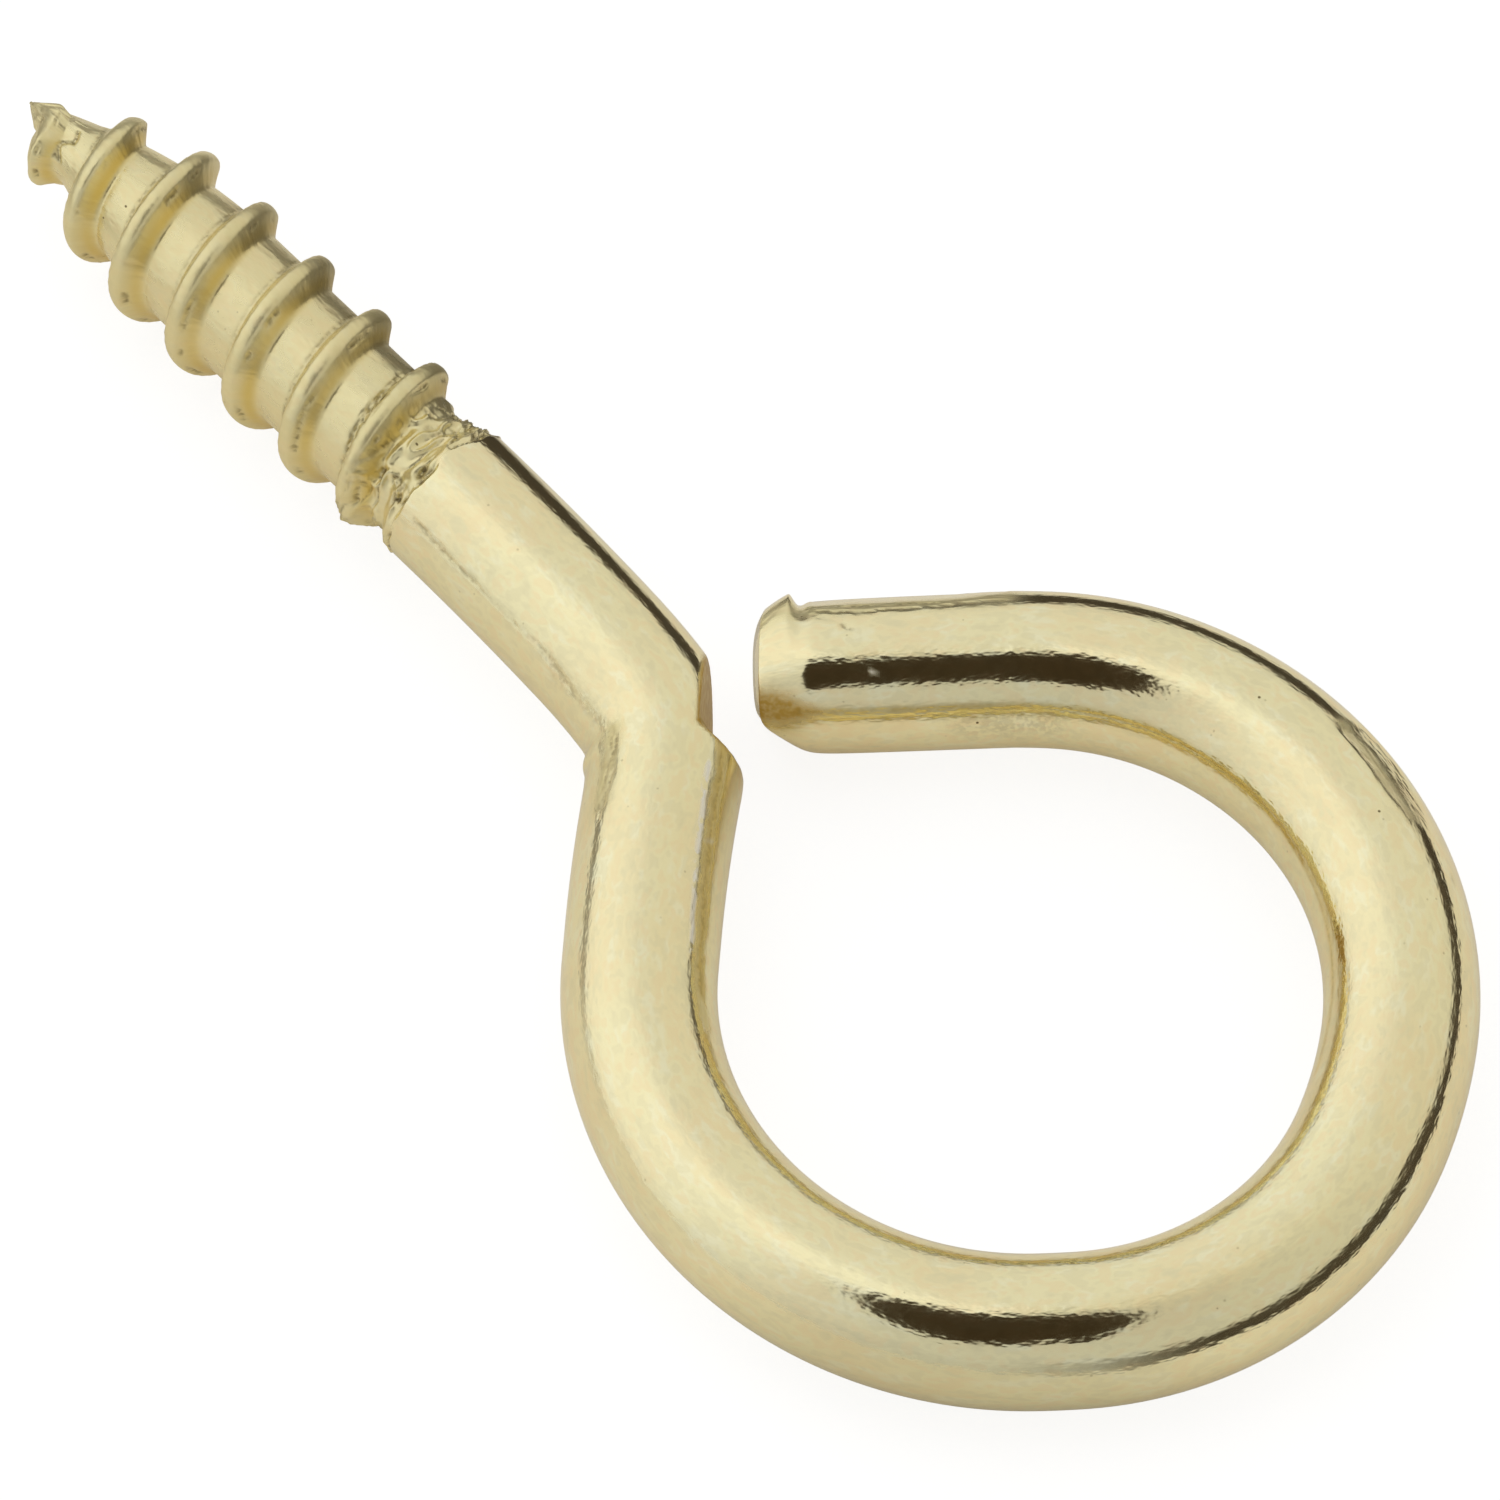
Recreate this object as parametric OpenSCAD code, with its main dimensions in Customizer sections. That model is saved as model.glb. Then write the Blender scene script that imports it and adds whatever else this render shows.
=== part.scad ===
// A screw eye formed from one length of brass-plated wire: a wood thread with a gimlet point,
// a short plain shank, a sharp neck, and an eye bent round to a sheared end beside the neck.
//
// Frame: the origin is the middle of the eye, the eye lies flat in the XY plane, +X runs along
// the thread to its point, and the neck leaves the shank to the +Y side. Millimetres throughout.

/* [Wire] */
// Diameter of the wire
wire_d = 3.43; // [2.4:0.01:4.6]

/* [Eye] */
// Width of the eye's opening, between the wire's inner sides
eye_in_d = 13.2; // [10:0.1:18]
// Slot that the cut-off blade leaves between the neck and the wire's end
slot_w = 1.12; // [0.9:0.01:2]
// How deep the blade bites into the outer side of the neck
nick_depth = 0.83; // [0.1:0.01:0.85]
// How far the sheared inner corner of the end reaches along the wire
end_chamfer_l = 1.1; // [0.2:0.01:1.5]
// How far the sheared inner corner of the end reaches across the wire
end_chamfer_w = 1.5; // [0.2:0.01:1.7]
// Size of the bevel on the outer corner of the end
end_bevel = 0.45; // [0.1:0.01:0.8]
// Depth of the flat that the bending tool presses into the outside of the eye
tool_flat_depth = 0.11; // [0.01:0.01:0.3]

/* [Neck] */
// Radius of the neck's bend, on the wire's centre line
neck_r = 2.96; // [2.6:0.01:5]
// How far the neck's sharp bend turns the wire, in degrees
neck_turn = 43.5; // [35:0.5:50]

/* [Shank] */
// Length of the plain shank, from the thread to the neck
shank_len = 6; // [4:0.1:25]
// Radius of the shank's slight bow, on the wire's centre line
shank_bow_r = 86; // [60:1:400]

/* [Thread] */
// Length of the thread, with its point
thread_len = 13.4; // [10:0.1:30]
// Advance of the thread in one turn
pitch = 1.84; // [1.2:0.01:2.6]
// How far the ridge stands above the wire's surface
ridge_rise = 0.27; // [0.05:0.01:0.5]
// How far the root lies below the wire's surface
root_sink = 0.19; // [0.05:0.01:0.5]
// Length over which the ridge narrows to the point
ridge_point_len = 4.8; // [3:0.1:9]
// Length over which the root narrows to the point
root_point_len = 6.8; // [3:0.1:9]
// Radius of the point's tip
tip_r = 0.12; // [0.05:0.01:0.4]

/* [Hidden] */
BRASS = "#e0d39c";
$fn = 72;

wire_r = wire_d / 2;
eye_r = (eye_in_d + wire_d) / 2;

// --- The wire's bends ---------------------------------------------------------------------
// Each stretch is [radius, amount]: a positive radius turns left by that many degrees, a
// negative one turns right, and a radius of 0 runs straight for that many millimetres.
// The eye's radii are shares of its mean radius, so that it keeps its hand-bent form.
SHOULDER_R = 18;
SHOULDER_TURN = 5.3;
SIDE = [5.03 * eye_r, 5.1];
SIDE_STRAIGHT = [0, 0.1 * eye_r];
NECK_SIDE = [1.014 * eye_r, 96];
LOW_SIDE = [2.49 * eye_r, 2.5];
FAR_SIDE = [0.886 * eye_r, 65.4];
FLAT_SIDE = [1.36 * eye_r, 12.1];
OUTER_SIDE = [0.993 * eye_r, 74.1];
TOP_SIDE = [0.927 * eye_r, 21.8];
END_SIDE = [1.78 * eye_r, 5];

// Turn of the bowed shank, whose length leaves room for the shoulder
bow_turn = (shank_len - SHOULDER_R * SHOULDER_TURN * PI / 180 / 2) / shank_bow_r * 180 / PI;

STRETCHES = [
    [-shank_bow_r, bow_turn],
    [-SHOULDER_R, SHOULDER_TURN],
    [-neck_r, neck_turn],
    SIDE,
    SIDE_STRAIGHT,
    NECK_SIDE,
    LOW_SIDE,
    FAR_SIDE,
    FLAT_SIDE,
    OUTER_SIDE,
    TOP_SIDE,
    END_SIDE
];
NECK = 2;
EYE_FROM = 5;
TOOL_FLAT_STRETCH = 9;
TOOL_FLAT_SHARE = 0.59;
HAIR = 0.005;
LAP = 0.06;

// A pose is [x, y, heading]: this one comes a share t of a stretch after pose p
function along(p, s, t = 1) =
    let (turn = sign(s[0]) * s[1] * t, r = abs(s[0]), side = sign(s[0]))
    s[0] == 0
        ? [p[0] + s[1] * t * cos(p[2]), p[1] + s[1] * t * sin(p[2]), p[2]]
        : [
            p[0] + side * r * (sin(p[2] + turn) - sin(p[2])),
            p[1] - side * r * (cos(p[2] + turn) - cos(p[2])),
            p[2] + turn
        ];

// Poses at the start of each stretch, and after the last, counted from the thread's base
function walk(p, i) =
    i == len(STRETCHES) ? [p] : concat([p], walk(along(p, STRETCHES[i]), i + 1));
POSES = walk([0, 0, 180], 0);
end_pose = POSES[len(STRETCHES)];

// Middle of the eye's ring, which becomes the origin
EYE_LINE = [
    for (i = [EYE_FROM : len(STRETCHES) - 1]) for (t = [0 : 0.1 : 1]) along(POSES[i], STRETCHES[i], t)
];
eye_x = [for (p = EYE_LINE) p[0]];
eye_y = [for (p = EYE_LINE) p[1]];
ring_r = (max(eye_y) - min(eye_y)) / 2;
eye_mid = [min(eye_x) + ring_r, min(eye_y) + ring_r];

// --- The cut-off slot ---------------------------------------------------------------------
// The blade comes in square to the wire's end. Its own axes are u, across the slot from the
// neck to the end, and v, along the slot out of the eye; both are measured from the centre of
// the neck's bend.
BLADE_U = end_pose[2] + 180 - 2.3;
NICK_CORNER_V = 0.2;
NICK_SLOPE = [1, -0.6];
OVERRUN = 0.2;
SLOT_LENGTH = 1.5 * wire_d;

neck_mid = [
    POSES[NECK][0] + neck_r * sin(POSES[NECK][2]),
    POSES[NECK][1] - neck_r * cos(POSES[NECK][2])
];
nick_u = neck_r + wire_r - nick_depth;
end_u = nick_u + slot_w;

// Straight tail, from the last bend to just past the slot's far wall
tail_start = [end_pose[0], end_pose[1]] - neck_mid;
tail_skew = BLADE_U - 180 - end_pose[2];
tail_u = tail_start * [cos(BLADE_U), sin(BLADE_U)] - end_u;
tail_len = tail_u / cos(tail_skew) + OVERRUN;

// Where the inner side of the wire meets the slot's far wall
end_edge_v = tail_start * [-sin(BLADE_U), cos(BLADE_U)] + tail_u * tan(tail_skew) - wire_r;

// --- The thread ---------------------------------------------------------------------------
// The thread's surface is a helical grid: row i starts a share of a pitch after row i - 1 and
// advances one pitch in a turn, so that row i meets row i + ROWS at the seam, and the rows
// follow the ridge. Its base is sunk in the shank, where it is slimmer than the wire.
ROWS = 9;
COLUMNS = 32;
CREST = 0.08;
FLANK = 0.2;
RUN_OUT = 1.1;
SEAT_CLEARANCE = 0.02;
SEAT_TAPER = 0.03;
RIDGE_PHASE = 0.345;
TURNS_SUNK = 1;
KNEE = 0.9;

// Height of the ridge, from 0 to 1, at a share f of a pitch from its crest
function ridge(f) =
    let (g = abs(f - round(f)))
    g < CREST ? 1 : g < CREST + FLANK ? (1 + cos(180 * (g - CREST) / FLANK)) / 2 : 0;

// A smooth step from 0 to 1 between a and b
function ease(x, a, b) = let (t = min(max((x - a) / (b - a), 0), 1)) t * t * (3 - 2 * t);

// A full radius r that narrows along a parabola over a length l to the point
function ogive(x, r, l) = r * (1 - pow(max(x - thread_len + l, 0) / l, 2));

// Radius of the thread at x from its base, a share f of a pitch from the ridge's crest
function thread_r(x, f) =
    let (
        seat = wire_r - SEAT_CLEARANCE + SEAT_TAPER * min(x, 0),
        grown = ease(x, 0.1 * pitch, RUN_OUT),
        root = ogive(x, seat + (wire_r - root_sink - seat) * grown, root_point_len),
        crest = ogive(x, wire_r + ridge_rise, ridge_point_len),
        lift = max(crest - root, 0) * ease(x, 0.3 * pitch, 0.3 * pitch + RUN_OUT)
    )
    max(root + lift * ridge(f), tip_r);

// Past the knee the rows close up towards the tip, and never reach it
function squeezed(x) =
    let (knee = thread_len - KNEE)
    x < knee ? x : thread_len - KNEE * exp((knee - x) / KNEE);

// Rows bunch on the ridge's flanks: this is a share of a pitch for row k of ROWS
function row_share(k) = k / ROWS - 0.045 * sin(720 * k / ROWS);

row_count = ceil((thread_len / pitch + TURNS_SUNK + RIDGE_PHASE) * ROWS);

function thread_point(i, j) =
    let (
        f = floor(i / ROWS) + row_share(i % ROWS) - TURNS_SUNK,
        turn = j / COLUMNS,
        x = squeezed((f - RIDGE_PHASE + turn) * pitch),
        r = thread_r(x, f)
    )
    [x, r * cos(360 * turn), r * sin(360 * turn)];

// Index of a grid point, with the seam's far side taken from one turn further on
function at(i, j) = j < COLUMNS ? i * COLUMNS + j : (i + ROWS) * COLUMNS;

module thread() {
    last = row_count - 1;
    base = row_count * COLUMNS;
    tip = base + 1;
    grid = [for (i = [0 : last]) for (j = [0 : COLUMNS - 1]) thread_point(i, j)];
    ends = [[-(TURNS_SUNK + RIDGE_PHASE) * pitch, 0, 0], [thread_len, 0, 0]];
    skin = [
        for (i = [0 : last - 1]) for (j = [0 : COLUMNS - 1]) if (j < COLUMNS - 1 || i + ROWS < last)
            each [
                [at(i, j), at(i + 1, j + 1), at(i, j + 1)],
                [at(i, j), at(i + 1, j), at(i + 1, j + 1)]
            ]
    ];
    base_rim = [for (j = [0 : COLUMNS - 1]) at(0, j), for (i = [ROWS : -1 : 1]) at(i, 0)];
    tip_rim = [
        for (j = [0 : COLUMNS - 1]) at(last, j),
        for (i = [last - 1 : -1 : last - ROWS]) at(i, COLUMNS - 1)
    ];
    base_fan = [for (k = [0 : len(base_rim) - 1]) [base, base_rim[k], base_rim[(k + 1) % len(base_rim)]]];
    tip_fan = [for (k = [0 : len(tip_rim) - 1]) [tip, tip_rim[(k + 1) % len(tip_rim)], tip_rim[k]]];
    polyhedron(points = concat(grid, ends), faces = concat(skin, base_fan, tip_fan));
}

// One stretch of round wire, from pose p. A slim one is a hair thinner than its neighbours and
// laps into both, so that neighbours meet at a plane and never skin to skin.
module stretch(p, s, slim) {
    d = slim ? wire_d - 2 * HAIR : wire_d;
    lap = slim ? LAP : 0;
    lap_turn = lap / max(abs(s[0]), 1) * 180 / PI;
    translate([p[0], p[1], 0]) rotate([0, 0, p[2]])
        if (s[0] == 0) {
            translate([-lap, 0, 0]) rotate([0, 90, 0]) cylinder(h = s[1] + 2 * lap, d = d);
        } else {
            translate([0, s[0], 0]) rotate([0, 0, (s[0] > 0 ? -90 : 90 - s[1]) - lap_turn])
                rotate_extrude(angle = s[1] + 2 * lap_turn) translate([abs(s[0]), 0]) circle(d = d);
        }
}

module bent_wire() {
    for (i = [0 : len(STRETCHES) - 1]) stretch(POSES[i], STRETCHES[i], i % 2 == 1);
    stretch(end_pose, [0, tail_len], len(STRETCHES) % 2 == 1);
}

// The blade's outline, which parts the end from the neck and shears the end's inner corner
module cut_off_slot() {
    translate([neck_mid[0], neck_mid[1], -wire_d]) rotate([0, 0, BLADE_U])
        linear_extrude(2 * wire_d)
            polygon([
                [nick_u, SLOT_LENGTH],
                [nick_u, NICK_CORNER_V],
                [nick_u, NICK_CORNER_V] + NICK_SLOPE,
                [end_u + 2 * end_chamfer_l, end_edge_v - end_chamfer_w],
                [end_u, end_edge_v + end_chamfer_w],
                [end_u, end_edge_v + wire_d - end_bevel],
                [end_u + 2 * end_bevel, end_edge_v + wire_d + end_bevel],
                [end_u, SLOT_LENGTH]
            ]);
}

// The flat that the bending tool presses into the eye's outer side
module tool_flat() {
    p = along(POSES[TOOL_FLAT_STRETCH], STRETCHES[TOOL_FLAT_STRETCH], TOOL_FLAT_SHARE);
    outside = tool_flat_depth - wire_r;
    translate([p[0], p[1], 0]) rotate([0, 0, p[2]])
        translate([-eye_r / 2, outside - wire_r, -wire_r]) cube([eye_r, wire_r, wire_d]);
}

module screw_eye() {
    color(BRASS) translate([-eye_mid[0], -eye_mid[1], 0]) {
        difference() {
            bent_wire();
            cut_off_slot();
            tool_flat();
        }
        thread();
    }
}

screw_eye();
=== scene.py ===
"""A screw eye of bright brass-plated wire, lying flat on a pale table.

The eye, its neck, the plain shank and the wood thread are one length of wire, so they are one
closed skin, carried along the wire's bends. Sizes are in millimetres until the skin is put into
its mesh, which is in metres. The origin is the middle of the eye, +X runs along the thread to
its point, and the neck leaves the shank to the +Y side.
"""

import logging
import math
from dataclasses import dataclass, field
from enum import Enum

import bpy
import numpy as np
from mathutils import Matrix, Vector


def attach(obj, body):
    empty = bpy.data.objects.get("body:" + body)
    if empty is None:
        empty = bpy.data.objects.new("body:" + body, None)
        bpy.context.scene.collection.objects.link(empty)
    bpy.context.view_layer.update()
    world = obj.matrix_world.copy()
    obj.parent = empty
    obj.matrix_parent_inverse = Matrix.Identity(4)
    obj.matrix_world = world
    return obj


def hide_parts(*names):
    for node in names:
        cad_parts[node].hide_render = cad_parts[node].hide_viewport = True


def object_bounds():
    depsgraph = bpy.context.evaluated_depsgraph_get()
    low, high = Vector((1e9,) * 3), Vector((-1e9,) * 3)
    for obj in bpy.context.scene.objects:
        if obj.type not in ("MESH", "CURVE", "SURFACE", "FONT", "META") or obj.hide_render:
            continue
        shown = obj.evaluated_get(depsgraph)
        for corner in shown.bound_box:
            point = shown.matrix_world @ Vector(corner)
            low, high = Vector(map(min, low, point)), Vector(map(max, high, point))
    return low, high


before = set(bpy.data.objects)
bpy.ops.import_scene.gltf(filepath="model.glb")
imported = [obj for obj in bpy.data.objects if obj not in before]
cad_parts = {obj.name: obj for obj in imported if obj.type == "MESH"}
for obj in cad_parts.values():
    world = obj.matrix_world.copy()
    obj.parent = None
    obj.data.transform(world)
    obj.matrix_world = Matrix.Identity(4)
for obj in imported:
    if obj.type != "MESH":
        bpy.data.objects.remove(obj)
CAD_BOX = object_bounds()

Array = np.ndarray
Socket = bpy.types.NodeSocket
Pair = tuple[float, float]
Triple = tuple[float, float, float]

LOG = logging.getLogger("screw_eye")
MM = 0.001
NOISE_VALUES = 8192
NOISE_PRIMES = np.array([73856093, 19349663, 83492791])


class Seed(Enum):
    """Which set of random values each pattern on the skin is drawn from."""

    TORN_EDGE = 11
    FOLD = 21
    GRIT = 22
    CRACK = 23
    DRIFT = 24
    POINT = 25
    PATCH = 26
    SOIL = 31
    SPLIT = 32
    SIDE_SHADE = 33
    CELL = 34
    GOLD_FLANK = 35
    STRAY = 41


def ease(value: Array, start: float, stop: float) -> Array:
    """A smooth step from 0 to 1: t squared times (3 - 2t), where t runs from start to stop.

    Args:
        value: where to read the step.
        start: where it leaves 0.
        stop: where it reaches 1. It may lie before start.
    Returns:
        The step's height at each value.
    """
    t = np.clip((value - start) / (stop - start), 0.0, 1.0)
    return t * t * (3.0 - 2.0 * t)


def hump(value: Array, centre: float, width: float) -> Array:
    """A bell, e to the minus squared distance from centre in widths."""
    return np.exp(-(((value - centre) / width) ** 2))


def turned(angle: Array, centre: float) -> Array:
    """The angle from centre, in degrees, brought between -180 and 180."""
    return (angle - centre + 180.0) % 360.0 - 180.0


def lattice_noise(points: Array, seed: Seed) -> Array:
    """Smooth random heights from -1 to 1, with a fresh value at each whole-numbered corner.

    The eight corner values round a point are blended by its eased place between them.

    Args:
        points: places, in cells, with x, y and z last.
        seed: which set of random values.
    Returns:
        One height for each point.
    """
    table = np.random.default_rng(seed.value).uniform(-1.0, 1.0, NOISE_VALUES)
    cell = np.floor(points).astype(np.int64)
    share = points - cell
    share = share * share * (3.0 - 2.0 * share)
    total = np.zeros(points.shape[:-1])
    for corner in range(8):
        step = np.array([corner & 1, (corner >> 1) & 1, (corner >> 2) & 1])
        place = (cell + step) * NOISE_PRIMES
        value = table[(place[..., 0] ^ place[..., 1] ^ place[..., 2]) & (NOISE_VALUES - 1)]
        total += value * np.where(step == 1, share, 1.0 - share).prod(axis=-1)
    return total


def creased(points: Array, seed: Seed) -> Array:
    """Sharp-crested wrinkles from 0 to 1: one minus twice the size of the smooth noise."""
    return 1.0 - np.clip(np.abs(lattice_noise(points, seed)) * 2.0, 0.0, 1.0)


class Hand(Enum):
    """Which way a thread winds."""

    RIGHT = 1
    LEFT = -1


@dataclass(frozen=True)
class Stretch:
    """A run of wire, whose skin gets a ring every step millimetres."""

    start: float
    stop: float
    step: float


@dataclass
class WirePath:
    """The wire's centre line, as arcs and straights laid end to end.

    Distance runs along the wire from the thread's base, and is negative in the thread. The
    line starts at the base, heading for the eye, and its own axes have their origin there.
    Each of the eye's arcs is a radius, in eye radii, and a turn in degrees; where the radius is
    0 it is a straight, and its length follows, in eye radii.
    """

    wire_d: float = 3.43
    eye_in_d: float = 13.2
    shank_len: float = 6.0
    shank_bow_r: float = 86.0
    shoulder_r: float = 18.0
    shoulder_turn: float = 5.3
    neck_r: float = 2.96
    neck_turn: float = 43.5
    tail_len: float = 5.2683
    first_eye_bend: int = 5
    eye_arcs: tuple[Pair, ...] = (
        (5.03, 5.1), (0.0, 0.1), (1.014, 96.0), (2.49, 2.5), (0.886, 65.4),
        (1.36, 12.1), (0.993, 74.1), (0.927, 21.8), (1.78, 5.0),
    )

    def __post_init__(self) -> None:
        """Works out the bends, and where each starts."""
        eye_r = (self.eye_in_d + self.wire_d) / 2.0
        shoulder = math.radians(self.shoulder_turn) * self.shoulder_r
        bow = self.shank_len - shoulder / 2.0
        bends = [(-self.shank_bow_r, bow), (-self.shoulder_r, shoulder)]
        bends.append((-self.neck_r, math.radians(self.neck_turn) * self.neck_r))
        for share, turn in self.eye_arcs:
            r = share * eye_r
            bends.append((r, math.radians(turn) * r if r else turn * eye_r))
        bends.append((0.0, self.tail_len))
        self.curvature = np.array([1.0 / r if r else 0.0 for r, _ in bends])
        self.length = np.array([length for _, length in bends])
        self.start = np.concatenate([[0.0], np.cumsum(self.length)[:-1]])
        poses = [np.array([0.0, 0.0, math.pi])]
        for curve, length in zip(self.curvature, self.length):
            poses.append(self._advance(poses[-1], curve, np.array(length)))
        self.pose = np.array(poses)
        self.middle = self._middle()

    @staticmethod
    def _advance(pose: Array, curve: Array, run: Array) -> Array:
        """The pose [x, y, heading] that comes run millimetres after pose on an even bend.

        On a bend the step is the change of the heading's sine and cosine over the curvature;
        on a straight it is the run along the heading.
        """
        heading = pose[..., 2] + curve * run
        bent = np.abs(curve) > 1e-9
        safe = np.where(bent, curve, 1.0)
        dx = np.where(bent, (np.sin(heading) - np.sin(pose[..., 2])) / safe, run * np.cos(heading))
        dy = np.where(bent, (np.cos(pose[..., 2]) - np.cos(heading)) / safe, run * np.sin(heading))
        return np.stack([pose[..., 0] + dx, pose[..., 1] + dy, heading], axis=-1)

    def at(self, distance: Array) -> Array:
        """Poses [x, y, heading] at distances along the wire."""
        bend = np.clip(np.searchsorted(self.start, distance, side="right") - 1, 0, None)
        curve = np.where(distance < 0.0, 0.0, self.curvature[bend])
        return self._advance(self.pose[bend], curve, distance - self.start[bend])

    def _middle(self) -> Array:
        """The middle of the eye's ring: half its height in from its far side."""
        line = self.at(np.linspace(self.start[self.first_eye_bend], self.start[-1], 400))
        low, high = line[:, :2].min(axis=0), line[:, :2].max(axis=0)
        ring_r = (high[1] - low[1]) / 2.0
        return np.array([low[0] + ring_r, low[1] + ring_r])

    @property
    def wire_r(self) -> float:
        """Radius of the wire."""
        return self.wire_d / 2.0

    @property
    def total(self) -> float:
        """Distance of the wire's cut end from the thread's base."""
        return float(self.start[-1] + self.length[-1])


class Tint(Enum):
    """What a mark leaves on the skin, by the name of the attribute that the finish reads."""

    # Dirt and painted shade: real grime, plus painted shade on one side of the thread and in a
    # band along the neck.
    DIRT_AND_SHADE = "dirt"
    DULL = "worn"
    # A painted gold reflection, in the thread's eye-side flanks and in a few bands.
    PAINTED_GOLD = "gilt"
    # White specks, and painted glints: a pale dotted line that stands in for highlights.
    PALE = "pale"


@dataclass(frozen=True)
class Mark:
    """A crease, crack, scratch or rubbed place, or a painted band of shade, reflection or glint,
    that runs from one place on the skin to another.

    A place is a distance along the wire, in millimetres, and an angle round it, in degrees.
    A mark of negative depth stands proud.
    """

    start: Pair
    stop: Pair
    width: float
    depth: float
    share: float
    wander: float = 0.05
    tint: Tint = Tint.DIRT_AND_SHADE

    def strength(self, s: Array, a: Array, wire_r: float, stray: Array) -> Array:
        """A bell across the mark, which is 1 on its line.

        The place is taken on the unrolled skin, and split into the part along the mark's
        line, of which only what is past the ends counts, and the part to its side.

        Args:
            s: distances along the wire.
            a: angles round the wire.
            wire_r: radius that the skin is unrolled from.
            stray: noise from -1 to 1, that makes the line wander.
        Returns:
            The bell's height at each point.
        """
        arc = math.radians(1.0) * wire_r
        step = np.array([self.stop[0] - self.start[0], turned(self.stop[1], self.start[1]) * arc])
        length = max(float(np.linalg.norm(step)), 1e-6)
        unit = step / length
        run, rise = s - self.start[0], turned(a, self.start[1]) * arc
        along = run * unit[0] + rise * unit[1]
        excess = along - np.clip(along, 0.0, length)
        side = run * unit[1] - rise * unit[0] + self.wander * stray
        return hump(np.hypot(excess, side), 0.0, self.width)


@dataclass(frozen=True)
class ToolFlat:
    """A flat that a forming tool pressed into the wire: a chord across its section."""

    start: float
    stop: float
    angle: float
    depth: float
    runs: Pair
    least_cosine: float = 0.2

    def sink(self, s: Array, a: Array, wire_r: float) -> Array:
        """How far the chord lies under the round: the radius less its distance to the chord.

        The chord's distance from the centre line, over the cosine of the angle from its
        middle, is the radius that the flat leaves. A least cosine keeps the far side round.

        Args:
            s: distances along the wire.
            a: angles round the wire.
            wire_r: the wire's radius.
        Returns:
            The depth at each point, and 0 beside the flat.
        """
        depth = self.depth * ease(s, self.start, self.start + self.runs[0])
        depth = depth * ease(s, self.stop, self.stop - self.runs[1])
        cosine = np.cos(np.radians(turned(a, self.angle)))
        chord = (wire_r - depth) / np.maximum(cosine, self.least_cosine)
        return np.clip(wire_r - chord, 0.0, None)


@dataclass(frozen=True)
class Bulge:
    """A place where the wire swells, or sinks where the height is negative."""

    s: float
    half_len: float
    angle: float
    half_angle: float
    height: float

    def rise(self, s: Array, a: Array) -> Array:
        """The height times a bell along the wire and a bell round it."""
        around = hump(turned(a, self.angle), 0.0, self.half_angle)
        return self.height * hump(s, self.s, self.half_len) * around


@dataclass(frozen=True)
class DraggedEnd:
    """What the blade dragged at the cut end: a lip on the outer side, and a narrowing elsewhere.

    A pair is where something starts and where it is full.
    """

    lip_height: float = 0.39
    lip_run: Pair = (58.55, 58.9)
    lip_angle: float = 144.0
    lip_half_angle: float = 32.0
    draw_slope: float = 0.13
    draw_from: float = 58.42
    draw_edge: float = 0.03
    draw_run: Pair = (57.6, 58.2)
    draw_angle: float = 85.0
    draw_sides: Pair = (90.0, 55.0)

    def rise(self, s: Array, a: Array) -> Array:
        """The lip, a step along the wire and a bell round it, less the narrowing.

        The narrowing grows evenly past its start: it is the slope times the sum of the
        distance past that and the root of this distance squared plus the edge.

        Args:
            s: distances along the wire.
            a: angles round the wire.
        Returns:
            The change of radius at each point.
        """
        around = hump(turned(a, self.lip_angle), 0.0, self.lip_half_angle)
        lip = self.lip_height * ease(s, *self.lip_run) * around
        past = s - self.draw_from
        drawn = self.draw_slope * (past + np.sqrt(past * past + self.draw_edge))
        drawn = drawn * ease(s, *self.draw_run)
        return lip - drawn * ease(np.abs(turned(a, self.draw_angle)), *self.draw_sides)


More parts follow.
